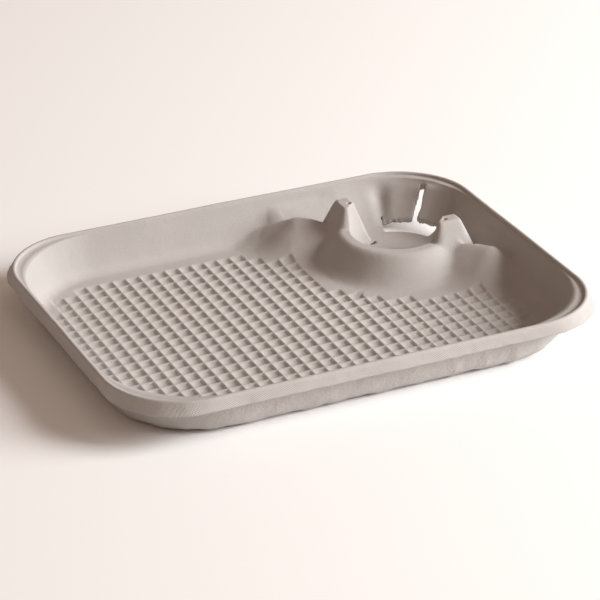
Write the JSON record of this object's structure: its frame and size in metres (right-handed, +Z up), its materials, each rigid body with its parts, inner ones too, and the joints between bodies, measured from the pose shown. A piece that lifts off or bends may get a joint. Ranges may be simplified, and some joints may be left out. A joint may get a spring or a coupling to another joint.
{
  "type": "cup carrier tray",
  "caption": "Shallow moulded-pulp carry tray with a raised, fingered cup well in one corner, flexing corner flaps and a ribbed floor for food.",
  "frame": {"origin": "centre of the tray's bounding box, on the table plane under its floor", "axes": "+X along the long side, +Y to the back side so that the cup well is in the +X +Y corner, +Z up out of the open top"},
  "size_m": [0.3238, 0.2502, 0.033],
  "materials": {
    "moulded_pulp": "matt, faintly fibrous warm grey recycled fibre"
  },
  "bodies": {
    "root": {"carrier_tray": "moulded_pulp"}
  },
  "joints": []
}
